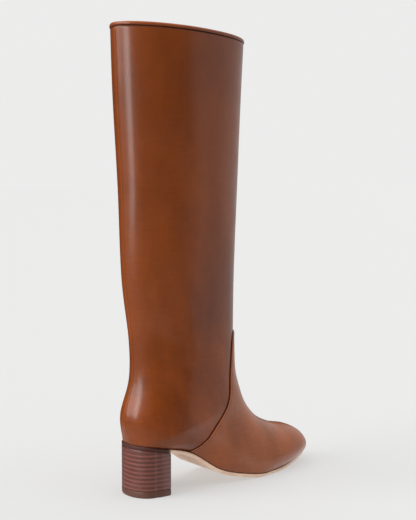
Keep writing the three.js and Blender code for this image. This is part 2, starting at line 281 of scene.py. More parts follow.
    def skin(self, t: Array, side: Array, by: Array | float = 0.0) -> Array:
        """Points on the form: each section is two halves of a superellipse, walked by its length.

        Args:
            t: Places along the fan.
            side: Places round the section, -1 to 1.
            by: Distance outwards from the form, in mm.

        Returns:
            Points in mm in the frame's place, with a last axis of three.
        """
        t, side, by = (np.asarray(a, float) for a in np.broadcast_arrays(t, side, by))
        flat = np.stack([t.ravel(), side.ravel(), by.ravel()])
        parts = [self._walk(*flat[:, k:k + self.chunk]) for k in range(0, t.size, self.chunk)]
        return np.concatenate(parts).reshape(*t.shape, 3)


@dataclass(frozen=True)
class VampSeam:
    """Where the vamp laps the shaft: stops of (share round from the front, outer t, inner t)."""

    last: Last
    stops: tuple[Triple, ...] = (
        (0.000, 4.33, 4.33),
        (0.155, 4.36, 4.36),
        (0.190, 4.80, 4.80),
        (0.215, 5.60, 5.55),
        (0.240, 6.35, 6.30),
        (0.280, 6.85, 6.80),
        (0.330, 7.15, 7.10),
        (0.400, 7.46, 7.38),
        (0.470, 7.74, 7.60),
        (0.570, 8.10, 7.85),
        (0.700, 8.48, 8.05),
        (0.840, 8.76, 8.15),
        (1.000, 8.98, 8.20),
    )
    ease: float = 0.022
    ease_steps: int = 9

    def at(self, side: Array) -> Array:
        """The section that the seam crosses: straight between the stops, eased by a running mean.

        Args:
            side: Places round the boot.

        Returns:
            t at each of them.
        """
        around, outer, inner = np.array(self.stops).T
        total = np.zeros(side.shape)
        for shift in np.linspace(-1, 1, self.ease_steps) * self.ease:
            place = np.abs(side + shift)
            place = np.where(place > 1, 2 - place, place)
            total += np.where(side < 0, np.interp(place, around, outer), np.interp(place, around, inner))
        return total / self.ease_steps

    def per_mm(self, side: Array) -> Array:
        """How much t grows for each mm square to the seam: root of both slopes squared and added.

        Args:
            side: Places round the boot.

        Returns:
            Sections to the millimetre at each of them.
        """
        t = self.at(side)
        step = 0.01
        low, high = np.clip(side - step, -1, 1), np.clip(side + step, -1, 1)
        slope = (self.at(high) - self.at(low)) / (high - low)
        skin = self.last.skin
        along_t = np.linalg.norm(skin(t + step, side) - skin(t - step, side), axis=-1) / (2 * step)
        round_it = np.linalg.norm(skin(t, high) - skin(t, low), axis=-1) / (high - low)
        return np.sqrt((1 / along_t) ** 2 + (slope / round_it) ** 2)


@dataclass(frozen=True)
class Fold:
    """A soft trough, or a ridge where depth is below zero, laid on the form."""

    path: tuple[tuple[float, float], ...]  # (t, side) of its stops
    depth: float
    width: float
    steps: int = 24

    def dent(self, last: Last, points: Array) -> Array:
        """How deep the fold presses: a bell curve of the distance to its line, fading at both ends.

        Args:
            last: The form that the stops lie on.
            points: Points of the skin, in mm.

        Returns:
            The depth at each point, in mm.
        """
        t, side = np.array(self.path, float).T
        stops = np.arange(len(t))
        fine = np.linspace(0, stops[-1], self.steps)
        line = last.skin(np.interp(fine, stops, t), np.interp(fine, stops, side))
        ends = np.sin(np.linspace(0, math.pi, len(line))) ** 0.6
        flat = points.reshape(-1, 3)
        total = np.zeros(len(flat))
        for centre, strength in zip(line, ends):
            gap = ((flat - centre) ** 2).sum(1)
            np.maximum(total, strength * np.exp(-gap / self.width**2), out=total)
        return self.depth * total.reshape(points.shape[:-1])


# ---- meshes ---------------------------------------------------------------------------------------


def grid_quads(rows: int, columns: int, start: int = 0, wrap: bool = False) -> Array:
    """Corner numbers of the faces of a grid.

    Args:
        rows: Points down the grid.
        columns: Points across it.
        start: Number of the grid's first point.
        wrap: Whether the last column joins the first.

    Returns:
        One row of four corners for each face.
    """
    r, c = np.meshgrid(np.arange(rows - 1), np.arange(columns if wrap else columns - 1), indexing="ij")
    right = (c + 1) % columns
    corners = [r * columns + c, r * columns + right, (r + 1) * columns + right, (r + 1) * columns + c]
    return start + np.stack(corners, -1).reshape(-1, 4)


def volume(points: Array, quads: Array) -> float:
    """Signed volume inside the faces: a third of the sum of each triangle's triple product.

    Args:
        points: Points, one row each.
        quads: Corner numbers of the faces.

    Returns:
        The volume, below zero where the faces point inwards.
    """
    a, b, c, d = (points[quads[:, k]] for k in range(4))
    first = np.einsum("ij,ij->i", a, np.cross(b, c)).sum()
    return float(first + np.einsum("ij,ij->i", a, np.cross(c, d)).sum()) / 6


def make_piece(name: str, points: Array, quads: Array,
               marks: dict[Mark, Array] | None = None) -> bpy.types.Object:
    """Puts points and faces into a mesh object, in metres, with doubles merged and faces outwards.

    Args:
        name: The piece's name.
        points: Points in mm, with a last axis of three.
        quads: Corner numbers of the faces.
        marks: Values from 0 to 1 at the points, by the attribute that holds them.

    Returns:
        The new object, at the origin and linked to the scene.
    """
    points = points.reshape(-1, 3)
    if volume(points, quads) < 0:
        quads = quads[:, ::-1]
    mesh = bpy.data.meshes.new(name)
    mesh.vertices.add(len(points))
    mesh.vertices.foreach_set("co", (points * MM).astype(np.float32).ravel())
    mesh.loops.add(quads.size)
    mesh.loops.foreach_set("vertex_index", quads.astype(np.int32).ravel())
    mesh.polygons.add(len(quads))
    mesh.polygons.foreach_set("loop_start", np.arange(0, quads.size, 4, dtype=np.int32))
    mesh.update(calc_edges=True)
    for mark, values in (marks or {}).items():
        layer = mesh.attributes.new(mark.value, "FLOAT", "POINT")
        layer.data.foreach_set("value", np.clip(values, 0, 1).astype(np.float32).ravel())
    piece = bpy.data.objects.new(name, mesh)
    bpy.context.scene.collection.objects.link(piece)
    merge_doubles(mesh)
    mesh.shade_smooth()
    return piece


def merge_doubles(mesh: bpy.types.Mesh) -> None:
    """Merges points that lie within a hundredth of a millimetre and drops the faces that close up.

    Args:
        mesh: The mesh, changed in place.
    """
    work = bmesh.new()
    work.from_mesh(mesh)
    bmesh.ops.remove_doubles(work, verts=work.verts, dist=1e-5)
    bmesh.ops.dissolve_degenerate(work, edges=work.edges, dist=1e-7)
    work.to_mesh(mesh)
    work.free()
    mesh.update()


def shell(outside: Array, inside: Array, open_from: int) -> tuple[Array, Array]:
    """Closes a wall between two grids of the same shape.

    The rims are the first row, and both side columns from the row where the boot opens underneath.

    Args:
        outside: Points of the outer face.
        inside: Points of the inner face.
        open_from: First row whose two ends don't meet.

    Returns:
        All points and the corner numbers of the faces.
    """
    rows, columns = outside.shape[:2]
    start = rows * columns
    number = np.arange(start).reshape(rows, columns)

    def rim(line: Array) -> Array:
        """Faces between a line of the outer face and the same line of the inner one."""
        return np.stack([line[:-1], line[:-1] + start, line[1:] + start, line[1:]], -1)

    quads = np.concatenate([
        grid_quads(rows, columns),
        grid_quads(rows, columns, start)[:, ::-1],
        rim(number[0]),
        rim(number[open_from:, 0][::-1]),
        rim(number[open_from:, -1]),
    ])
    return np.concatenate([outside.reshape(-1, 3), inside.reshape(-1, 3)]), quads


def both_faces(marks: dict[Mark, Array]) -> dict[Mark, Array]:
    """Marks of a wall's outer face given to its inner face too, in the order of a shell's points."""
    return {mark: np.tile(values.ravel(), 2) for mark, values in marks.items()}


def run_along(line: Array) -> Array:
    """Distance from the start of a line of points to each of them."""
    return np.concatenate([[0], np.cumsum(np.linalg.norm(np.diff(line, axis=0), axis=1))])


def bell(distance: Array, width: float) -> Array:
    """A soft bump that is 1 at no distance and falls off as a bell curve."""
    return np.exp(-((distance / width) ** 2))


def rise(value: Array, start: float, end: float) -> Array:
    """A smooth step from 0 at start to 1 at end."""
    u = np.clip((value - start) / (end - start), 0, 1)
    return u * u * (3 - 2 * u)


def quarter_round(share: Array) -> Array:
    """The rise of a rounded edge: a quarter circle from 0 to 1 as the share goes from 0 to 1."""
    return np.sqrt(1 - (1 - np.clip(share, 0, 1)) ** 2)


# ---- finishes -------------------------------------------------------------------------------------


def tone(red: int, green: int, blue: int) -> Triple:
    """A colour named by its screen values, turned into the light values that shaders use."""
    shares = [c / 255 for c in (red, green, blue)]
    return tuple(c / 12.92 if c <= 0.04045 else ((c + 0.055) / 1.055) ** 2.4 for c in shares)


class Nodes:
    """A node tree, with short calls for what the finishes and the room share."""

    def __init__(self, tree: bpy.types.NodeTree) -> None:
        """Keeps the tree."""
        self.tree = tree

    def add(self, kind: str, **values: object) -> bpy.types.Node:
        """Adds a node.

        Args:
            kind: The end of its type's name.
            values: Its inputs by name, with spaces written as underscores: sockets or plain values.

        Returns:
            The node.
        """
        node = self.tree.nodes.new("ShaderNode" + kind)
        self.fill(node, **values)
        return node

    def fill(self, node: bpy.types.Node, **values: object) -> None:
        """Gives a node its inputs by name, with spaces written as underscores."""
        for name, value in values.items():
            self.feed(node.inputs[name.replace("_", " ")], value)

    def feed(self, target: Socket, value: object) -> None:
        """Links a socket to an input, or sets the input to a plain value.

        Args:
            target: The input.
            value: The socket or the plain value.
        """
        if isinstance(value, Socket):
            self.tree.links.new(value, target)
        else:
            target.default_value = value

    def reckon(self, operation: str, *values: Socket | float) -> Socket:
        """A sum on sockets or numbers.

        Args:
            operation: The node's name for the sum.
            values: Sockets or numbers, in the order of its inputs.

        Returns:
            The result's socket.
        """
        node = self.add("Math")
        node.operation = operation
        for target, value in zip(node.inputs, values):
            self.feed(target, value)
        return node.outputs[0]

    def spread(self, value: Socket, low: float, high: float, start: float = 0.3, end: float = 0.7,
               curve: str = "LINEAR") -> Socket:
        """Lays out a value between two others.

        Args:
            value: The value's socket.
            low: Result at start.
            high: Result at end.
            start: Value from which it changes.
            end: Value up to which it changes.
            curve: Shape of the change between them.

        Returns:
            The result's socket.
        """
        node = self.add("MapRange", Value=value, From_Min=start, From_Max=end, To_Min=low, To_Max=high)
        node.interpolation_type = curve
        return node.outputs["Result"]


class Shader(Nodes):
    """A material's node tree, with the nodes that the finishes share."""

    def __init__(self, name: str) -> None:
        """Starts an empty material with a Principled shader and Object coordinates.

        Args:
            name: The material's name.
        """
        self.material = bpy.data.materials.new(name)
        self.material.use_nodes = True
        super().__init__(self.material.node_tree)
        self.surface = self.tree.nodes["Principled BSDF"]
        self.place = self.add("TexCoord").outputs["Object"]

    def noise(self, scale: float, detail: float = 4, blur: float = 0.5, twist: float = 0.0,
              along: Triple = (1, 1, 1)) -> Socket:
        """Cloudy values from 0 to 1.

        Args:
            scale: Clouds to the metre.
            detail: Number of finer layers.
            blur: Strength of the finer layers.
            twist: Distortion.
            along: Stretch by axis.

        Returns:
            The value socket.
        """
        place = self.add("Mapping", Vector=self.place, Scale=along).outputs["Vector"]
        node = self.add("TexNoise", Vector=place, Scale=scale, Detail=detail, Roughness=blur, Distortion=twist)
        return node.outputs["Fac"]

    def cells(self, scale: float) -> Socket:
        """Distance to the nearest of scattered points, as the pores of a skin lie."""
        return self.add("TexVoronoi", Vector=self.place, Scale=scale).outputs["Distance"]

    def ramp(self, value: Socket, stops: list[tuple[float, Triple]]) -> Socket:
        """Colours laid over a value.

        Args:
            value: The value's socket.
            stops: Places from 0 to 1 with their colours.

        Returns:
            The colour's socket.
        """
        node = self.add("ValToRGB", Fac=value)
        elements = node.color_ramp.elements
        while len(elements) < len(stops):
            elements.new(0.5)
        for element, (place, colour) in zip(elements, stops):
            element.position = place
            element.color = (*colour, 1)
        return node.outputs["Color"]

    def mix(self, share: Socket, first: Socket, second: Triple) -> Socket:
        """A colour that turns into a second one as the share goes from 0 to 1.

        Args:
            share: Share of the second colour.
            first: The first colour.
            second: The second colour.

        Returns:
            The colour's socket.
        """
        node = self.add("Mix")
        node.data_type = "RGBA"
        for place, value in ((0, share), (6, first), (7, (*second, 1))):
            self.feed(node.inputs[place], value)
        return node.outputs[2]

    def shade(self, colour: Socket, value: Socket, low: float, high: float) -> Socket:
        """A colour made darker or lighter by a value, between two factors.

        Args:
            colour: The colour.
            value: Cloudy values.
            low: Factor where they are low.
            high: Factor where they are high.

        Returns:
            The colour's socket.
        """
        node = self.add("VectorMath")
        node.operation = "SCALE"
        self.fill(node, Scale=self.spread(value, low, high))
        self.feed(node.inputs[0], colour)
        return node.outputs[0]

    def mark(self, mark: Mark) -> Socket:
        """The value of a piece's own attribute.

        Args:
            mark: The attribute.

        Returns:
            The value's socket.
        """
        node = self.add("Attribute")
        node.attribute_name = mark.value
        return node.outputs["Fac"]

    def height(self) -> Socket:
        """Height above the floor, in metres."""
        return self.add("SeparateXYZ", Vector=self.place).outputs["Z"]

    def bump(self, *layers: tuple[Socket, float]) -> None:
        """Small relief in layers, each laid on the one before.

        Args:
            layers: Values, each with its height in metres.
        """
        below = {}
        for value, high in layers:
            normal = self.add("Bump", Height=value, Distance=high, Strength=1.0, **below).outputs["Normal"]
            below = {"Normal": normal}
        self.set(Normal=normal)

    def set(self, **values: object) -> None:
        """Gives the Principled shader its inputs by name, with spaces written as underscores."""
        self.fill(self.surface, **values)

    def finish(self, colour: Socket, clouds: Socket, smooth: float, rough: float, **values: float) -> None:
        """Fills in the shader.

        Args:
            colour: The base colour.
            clouds: Cloudy values that vary the roughness.
            smooth: The roughness at its lowest.
            rough: The roughness at its highest.
            values: Other sockets by name, with spaces written as underscores.
        """
        self.set(Base_Color=colour, Roughness=self.spread(clouds, smooth, rough), **values)


@dataclass(frozen=True)
class Finish:
    """A finish of a surface, laid as nodes on a material of its own."""

    name: str

    def make(self) -> bpy.types.Material:
        """Builds the material.

        Returns:
            The material.
        """
        shader = Shader(self.name)
        self.lay(shader)
        return shader.material

    def lay(self, s: Shader) -> None:
        """Lays the nodes, which each kind of finish does in its own way."""
        raise NotImplementedError


@dataclass(frozen=True)
class BurnishedLeather(Finish):
    """Smooth calf, dyed and burnished, with cloudy tones, fine pores and a wax shine."""

    light: Triple = tone(146, 71, 18)
    middle: Triple = tone(130, 60, 13)
    dark: Triple = tone(97, 43, 10)
    # Dark of stained edges, also painted as shade in grooves and where parts meet.
    stain_and_shade: Triple = tone(44, 17, 9)
    # Light orange of the cut edges, also painted as highlights along the vamp's edge and the back lap.
    cut: Triple = tone(176, 94, 44)
    roughness: float = 0.38
    shine: float = 0.34
    shine_roughness: float = 0.18

    def lay(self, s: Shader) -> None:
        """Lays clouds, fine strokes, pores, the burnish, stains with painted shade and cut edges with painted
        highlights.

        Args:
            s: The material's shader.
        """
        clouds = s.noise(11, detail=5, blur=0.55, twist=0.6, along=(1, 1, 0.55))
        colour = s.ramp(clouds, [(0.30, self.dark), (0.52, self.middle), (0.75, self.light)])
        mottle = s.noise(62, detail=5, blur=0.65, twist=0.4, along=(1, 1, 0.6))
        strokes = s.noise(150, blur=0.65, twist=0.3, along=(0.45, 0.45, 3.2))
        colour = s.shade(colour, mottle, 0.93, 1.07)
        colour = s.shade(colour, s.noise(900, detail=3, blur=0.6), 0.97, 1.03)
        colour = s.shade(colour, strokes, 0.92, 1.08)
        colour = s.mix(s.spread(s.mark(Mark.BURNISH), 0, 0.55, 0, 1), colour, self.dark)
        # Cut edges with painted highlights, then stains with painted shade.
        colour = s.mix(s.mark(Mark.CUT_EDGE_AND_HIGHLIGHT), colour, self.cut)
        colour = s.mix(s.mark(Mark.STAIN_AND_SHADE), colour, self.stain_and_shade)
        s.finish(colour, s.noise(38), self.roughness - 0.05, self.roughness + 0.07,
                 Specular_IOR_Level=0.24, Coat_Weight=self.shine, Coat_Roughness=self.shine_roughness,
                 Coat_IOR=1.5)
        hollows, grain = s.noise(26, detail=3, twist=0.3), s.noise(240, blur=0.6)
        s.bump((hollows, 0.00055), (strokes, 0.00007), (grain, 0.00005), (s.cells(1150), 0.00003))


@dataclass(frozen=True)
class SoleLeather(Finish):
    """Firm undyed leather with fine fibres."""

    name: str = "sole_leather"
    pale: Triple = tone(246, 216, 194)
    tan: Triple = tone(232, 192, 164)
    # Dark of the heel seat, also painted as shade along the top of the edge under the upper.
    stain_and_shade: Triple = tone(72, 34, 26)
    roughness: float = 0.58

    def lay(self, s: Shader) -> None:
        """Lays pale and tan clouds with fine fibres.

        Args:
            s: The material's shader.
        """
        fibres = s.noise(420, detail=3, blur=0.6, along=(0.25, 0.25, 3))
        colour = s.ramp(s.noise(30, detail=5, blur=0.6), [(0.35, self.tan), (0.65, self.pale)])
        colour = s.shade(colour, fibres, 0.93, 1.05)
        colour = s.mix(s.mark(Mark.STAIN_AND_SHADE), colour, self.stain_and_shade)
        s.finish(colour, s.noise(90), self.roughness - 0.1, self.roughness + 0.1, Specular_IOR_Level=0.35)
        s.bump((s.noise(700, blur=0.6, along=(0.3, 0.3, 2)), 0.00006))


@dataclass(frozen=True)
class StackedLifts(Finish):
    """Glued leather lifts, stained and waxed: a dark line at each joint and a lighter middle."""

    pitch: float
    base: float
    light: Triple = tone(122, 68, 56)
    dark: Triple = tone(90, 48, 42)
    roughness: float = 0.34
    waver: float = 0.00022

    def lay(self, s: Shader) -> None:
        """Lays a band that is the sine of the height over the pitch, moved a little by cloudy values.

        Args:
            s: The material's shader.
        """
        waver = s.spread(s.noise(24, detail=3), -self.waver, self.waver)
        turns = 2 * math.pi / self.pitch
        start = -turns * self.base - math.pi / 2
        angle = s.reckon("MULTIPLY_ADD", s.reckon("ADD", s.height(), waver), turns / MM, start)
        band = s.spread(s.reckon("SINE", angle), 0, 1, -0.3, 1.0)
        colour = s.ramp(band, [(0.0, self.dark), (1.0, self.light)])
        colour = s.shade(colour, s.noise(160, blur=0.6, along=(1, 1, 3)), 0.9, 1.08)
        # Darker where the piece marks it, at the top of the stack just under the sole.
        colour = s.mix(s.mark(Mark.STAIN_AND_SHADE), colour, self.dark)
        s.finish(colour, s.noise(70, detail=3), self.roughness - 0.06, self.roughness + 0.08,
                 Coat_Weight=0.4, Coat_Roughness=0.18)
        s.bump((s.noise(500, blur=0.6, along=(0.4, 0.4, 3)), 0.00004))


@dataclass(frozen=True)
class PlainHide(Finish):
    """A matt finish of two tones with a fine relief, for lining, sock, thread and heel rubber."""

    first: Triple
    second: Triple
    roughness: float = 0.7
    clouds: float = 40.0
    grain: float = 900.0
    relief: float = 0.00005
    glaze: float = 0.0

    def lay(self, s: Shader) -> None:
        """Lays two tones with a fine grain.

        Args:
            s: The material's shader.
        """
        colour = s.ramp(s.noise(self.clouds, blur=0.6), [(0.35, self.first), (0.68, self.second)])
        colour = s.shade(colour, s.noise(self.grain, detail=3, blur=0.6), 0.92, 1.06)
        s.finish(colour, s.noise(self.clouds * 3, detail=3), self.roughness - 0.06, self.roughness + 0.06,
                 Specular_IOR_Level=0.35, Coat_Weight=self.glaze, Coat_Roughness=0.25)
        s.bump((s.noise(self.grain, blur=0.6), self.relief))


# ---- sub-assemblies -------------------------------------------------------------------------------


@dataclass
class Piece:
    """A part of the boot: makes its mesh, takes its finish and rides on the boot's one body."""

    last: Last
    made: list[bpy.types.Object] = field(default_factory=list)

    def dress(self, piece: bpy.types.Object, finish: bpy.types.Material, slot: str, *nodes: str) -> None:
        """Gives a mesh its finish and its place in the frame.

        Args:
            piece: The new mesh object.
            finish: Its material.
            slot: The record's slot that the finish stands for; not used.
            nodes: CAD nodes that it replaces.
        """
        piece.data.materials.append(finish)
        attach(piece, "root")
        if nodes:
            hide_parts(*nodes)
        self.made.append(piece)
        LOG.info("%s: %d faces", piece.name, len(piece.data.polygons))


@dataclass
class Shaft(Piece):
    """The shaft and quarters in one leather, closed by a lapped seam up the back, with its lining."""

    thick: float = 1.2
    lining_in: float = 1.25
    wall: float = 2.2
    leg_rows: int = 190
    side_rows: int = 44
    foot_rows: int = 26
    columns: int = 120
    lining_leg_rows: int = 90
    lining_foot_rows: int = 80
    lining_columns: int = 81
    lap_high: float = 0.45
    lap_wide: float = 8.0
    lap_edge: float = 0.9
    half_girth: float = 172.0
    collar_row_mm: float = 68.0  # length of the leather for one section at the collar
    rate_most: float = 0.07  # rows stay in order beside the steep sides of the tongue
    groove_deep: float = 0.45
    groove_wide: float = 0.8
    before_seam: tuple[float, ...] = (
        9, 7, 5.5, 4.2, 3.2, 2.4, 1.8, 1.3, 0.9, 0.55, 0.25, 0, -0.4, -1, -2.5, -5, -8,
    )
    beside_back: tuple[float, ...] = (0, 0.25, 0.5, 0.8, 1.2, 1.8, 2.6, 3.6, 5, 7, 9.5, 12.5)
    folds: tuple[Fold, ...] = (
        Fold(((1.2, -0.62), (2.2, -0.58), (3.3, -0.60)), 0.7, 13),
        Fold(((0.6, -0.36), (1.8, -0.40), (2.7, -0.37)), -0.6, 12),
        Fold(((2.4, -0.80), (3.4, -0.70), (4.1, -0.62)), 0.5, 9),
        Fold(((3.7, -0.86), (4.3, -0.66), (4.9, -0.50)), 0.7, 8),
        Fold(((4.5, -0.90), (5.2, -0.70), (5.7, -0.56)), -0.6, 8),
        Fold(((4.0, -0.42), (4.6, -0.30), (4.9, -0.22)), 0.6, 7),
        Fold(((1.0, 0.55), (2.2, 0.60), (3.4, 0.56)), 0.7, 13),
        Fold(((3.8, 0.84), (4.4, 0.64), (5.0, 0.48)), 0.7, 8),
        Fold(((4.6, 0.88), (5.2, 0.68), (5.7, 0.54)), -0.5, 8),
        Fold(((6.0, -0.80), (6.6, -0.62), (7.0, -0.50)), 0.4, 10),
    )

    def across(self) -> Array:
        """Places round the boot, closer together beside the back seam.

        Returns:
            The places, from -1 to 1.
        """
        near = np.array(self.beside_back) / self.half_girth
        middle = np.linspace(-1 + near[-1], 1 - near[-1], self.columns)
        return np.concatenate([-1 + near[:-1], middle, 1 - near[:-1][::-1]])

    def grid(self, seam: VampSeam) -> tuple[Array, Array, Array, int]:
        """Places of the leather's points: level rows down the leg that bend to follow the vamp seam.

        Beside the tongue, whose sides are steep, the rows by the seam stand closer than they would
        square to it, so that none of them folds over the next.

        Args:
            seam: The seam that the vamp laps on.

        Returns:
            t and side as grids, the distance in mm before the seam as a grid, and the first row
            that is open underneath.
        """
        side = self.across()
        edge, rate = seam.at(side), seam.per_mm(side)
        level = (edge + seam.at(-side)) / 2
        knot = self.last.heel * level / level[-1]
        near = np.array(self.before_seam)[:, None]
        calm = np.minimum(rate, self.rate_most)

        def onward(rows: int, start: Array, end: Array | float) -> Array:
            """Rows spread evenly from a first one, which is left out, to a last one."""
            return start + np.linspace(0, 1, rows + 1)[1:, None] * (end - start)

        leg = np.linspace(0, 1, self.leg_rows)[:, None] * (knot - self.last.collar) + self.last.collar
        beside = edge - near * calm
        flank = onward(self.side_rows, knot, beside[0])[:-1]
        foot = onward(self.foot_rows, beside[-1], self.last.tip)
        t = np.concatenate([leg, flank, beside, foot])
        above = np.full((len(leg) + len(flank), len(side)), FAR)
        gap = np.concatenate([above, near * calm / rate, np.full_like(foot, -FAR)])
        return t, np.broadcast_to(side, t.shape), gap, len(leg) - 1

    def relief(self, t: Array, side: Array, gap: Array) -> Array:
        """How far the leather stands off the form.

        The back lap rises in a quarter round and sinks slowly over its width. The seam's groove, the
        line along the lap, the press under the binding and the folds are bell curves.

        Args:
            t: Places along the fan.
            side: Places round the sections.
            gap: Distance before the vamp's seam, in mm.

        Returns:
            The distance outwards at each place, in mm.
        """
        base = self.last.skin(t, side)
        back = (1 + side) * self.half_girth
        sink = 1 - rise(back, 0.55 * self.lap_wide, 1.5 * self.lap_wide)
        lap = quarter_round(back / self.lap_edge) * sink
        lap *= 1 - rise(t, self.last.heel - 0.2, self.last.heel + 0.4)
        groove = bell(gap, self.groove_wide) * self.groove_deep
        ditch = bell((1 - side) * self.half_girth, 0.7) * 0.25 * (t < self.last.heel)
        collar = bell((t - self.last.collar) * self.collar_row_mm, 0.6) * 0.4
        dents = sum(fold.dent(self.last, base) for fold in self.folds)
        return self.lap_high * lap - groove - ditch - collar - dents * (gap > -FAR / 2)

    def build(self, seam: VampSeam, leather: bpy.types.Material, lining: bpy.types.Material) -> None:
        """Builds the leather and the lining.

        Args:
            seam: The seam that the vamp laps on.
            leather: Finish of the outside.
            lining: Finish of the inside.
        """
        t, side, gap, open_from = self.grid(seam)
        by = self.relief(t, side, gap)
        outside = self.last.skin(t, side, by)
        inside = self.last.skin(t, side, np.minimum(by, 0) - self.thick)
        points, quads = shell(outside, inside, open_from)
        back_outer, back_inner = (1 + side) * self.half_girth, (1 - side) * self.half_girth
        leg = t < self.last.heel + 0.1
        rim = 1 - np.abs(side)
        foot = rise(t, self.last.heel - 0.12, self.last.heel + 0.2)
        # Painted shade in dark lines: in the groove under the vamp's lapped edge, partly dark edge paint; under
        # the collar binding; along both edges of the back lap; and at the feather line where the upper meets
        # the sole.
        stain_and_shade = np.maximum.reduce([
            0.95 * bell(gap - 0.25, 0.55),
            0.95 * bell((t - self.last.collar) * self.collar_row_mm - 0.1, 0.55),
            0.75 * bell(back_inner, 0.45) * leg,
            0.55 * bell(back_outer, 0.3) * leg,
            0.8 * (1 - rise(rim, 0.003, 0.010)) * foot,
        ])
        burnish = np.maximum(1 - rise(t, 0.0, 6.5), 0.3 * (1 - rise(rim, 0.0, 0.12)) * rise(t, 6.3, 7.2))
        # Painted highlight: a light line in the cut-edge colour along the top of the back lap's rounded edge.
        lit = 0.22 * bell(back_outer - self.lap_edge, 0.5) * leg
        marks = both_faces({Mark.STAIN_AND_SHADE: stain_and_shade, Mark.BURNISH: burnish, Mark.CUT_EDGE_AND_HIGHLIGHT: lit})
        self.dress(make_piece("shaft_leather", points, quads, marks), leather, "shaft_leather", "upper")
        self.line(lining)

    def line(self, finish: bpy.types.Material) -> None:
        """The lining: a thin wall that follows the form at an even depth, from collar to toe.

        Args:
            finish: Its finish.
        """
        rows = np.concatenate([
            np.linspace(self.last.collar, self.last.heel, self.lining_leg_rows),
            np.linspace(self.last.heel, self.last.tip, self.lining_foot_rows)[1:],
        ])[:, None]
        side = np.linspace(-1, 1, self.lining_columns)
        face = self.last.skin(rows, side, -self.lining_in)
        seam_tape = 0.25 * bell((np.abs(side) - 1) * self.half_girth, 2.5) * (rows < self.last.heel)
        back = self.last.skin(rows, side, -self.wall - seam_tape)
        points, quads = shell(face, back, self.lining_leg_rows - 1)
        self.dress(make_piece("lining", points, quads), finish, "shaft_leather")


@dataclass
class Vamp(Piece):
    """The front leather, lapped over the shaft, with a rounded cut edge and a soft break at the toes."""

    lap: float = 0.35
    thick: float = 1.15
    edge_round: float = 0.85
    under: float = 0.15
    rows: int = 170
    columns: int = 161
    past_seam: tuple[float, ...] = (0, 0.04, 0.1, 0.2, 0.34, 0.5, 0.7, 0.95, 1.3, 1.8, 2.6, 3.8)
    folds: tuple[Fold, ...] = (
        Fold(((12.75, -0.44), (12.45, -0.24), (12.30, 0.0), (12.5, 0.32)), 0.4, 7.0),
        Fold(((13.1, -0.46), (13.0, -0.16), (13.0, 0.16), (13.1, 0.42)), -0.4, 11),
        Fold(((10.3, -0.62), (10.8, -0.40), (11.3, -0.22)), 0.6, 9),
        Fold(((9.4, -0.70), (9.9, -0.46), (10.2, -0.26)), -0.5, 9),
        Fold(((10.4, 0.60), (10.9, 0.38), (11.3, 0.20)), 0.6, 9),
        Fold(((11.8, -0.66), (12.0, -0.50), (12.2, -0.38)), 0.5, 7),
    )

    def build(self, seam: VampSeam, leather: bpy.types.Material) -> None:
        """Builds the vamp on rows that keep an even distance from the seam, then run to the toe.

        Args:
            seam: The seam that it starts at.
            leather: Its finish.
        """
        side = np.linspace(-1, 1, self.columns)
        near = np.array(self.past_seam)
        edge, rate = seam.at(side), seam.per_mm(side)
        beside = edge + near[:, None] * rate
        onward = beside[-1] + np.linspace(0, 1, self.rows + 1)[1:, None] * (self.last.tip - beside[-1])
        t = np.concatenate([beside, onward])
        side = np.broadcast_to(side, t.shape)
        gap = np.broadcast_to(np.concatenate([near, np.full(self.rows, FAR)])[:, None], t.shape)
        base = self.last.skin(t, side)
        dents = sum(fold.dent(self.last, base) for fold in self.folds)
        swell = self.thick * quarter_round(gap / self.edge_round)
        outside = self.last.skin(t, side, self.lap + swell - dents)
        inside = self.last.skin(t, side, self.lap - np.minimum(self.under, gap))
        points, quads = shell(outside, inside, 0)
        rim = 1 - np.abs(side)
        # The light line along the cut edge is partly its lighter raw edge and partly a painted highlight.
        # Painted shade darkens the feather line where the vamp meets the sole and, with dark edge paint, the
        # very tip of the edge.
        marks = both_faces({
            Mark.CUT_EDGE_AND_HIGHLIGHT: 0.9 * bell(gap - 0.45, 0.32),
            Mark.STAIN_AND_SHADE: np.maximum(0.8 * (1 - rise(rim, 0.004, 0.012)), 0.5 * bell(gap, 0.12)),
            Mark.BURNISH: 0.3 * np.maximum(1 - rise(rim, 0.0, 0.14), rise(t, 13.6, 15.8)),
        })
        self.dress(make_piece("vamp_leather", points, quads, marks), leather, "vamp_leather", "vamp")


@dataclass
class Binding(Piece):
    """The rolled strip that finishes the collar."""

    wide: float = 3.6
    high: float = 3.3
    wall: float = 2.2
    lift: float = 0.15
    around: int = 220
    profile_steps: int = 22

    def build(self, leather: bpy.types.Material) -> None:
        """Carries a rounded profile round the collar.

        The profile is a superellipse: out is the cosine and up the sine of an angle, each to a power,
        and its foot is flat.

        Args:
            leather: Its finish.
        """
        angle = np.linspace(math.pi, 0, self.profile_steps)
        out = np.sign(np.cos(angle)) * np.abs(np.cos(angle)) ** 0.75 * self.wide / 2 - self.wall / 2
        up = np.abs(np.sin(angle)) ** 0.6 * self.high
        side = np.linspace(-1, 1, self.around)
        ring = self.last.skin(self.last.collar, side[:, None], out[None, :])
        ring[..., 2] += self.lift + up
        # Painted shade darkens the outer foot of the binding, where it meets the shaft.
        foot = bell(np.arange(self.profile_steps) - self.profile_steps, 3.0)
        quads = grid_quads(self.around, self.profile_steps, wrap=True)
        marks = {Mark.STAIN_AND_SHADE: np.broadcast_to(0.55 * foot, ring.shape[:2])}
        piece = make_piece("collar_binding", ring, quads, marks)
        self.dress(piece, leather, "binding_leather", "top_binding")


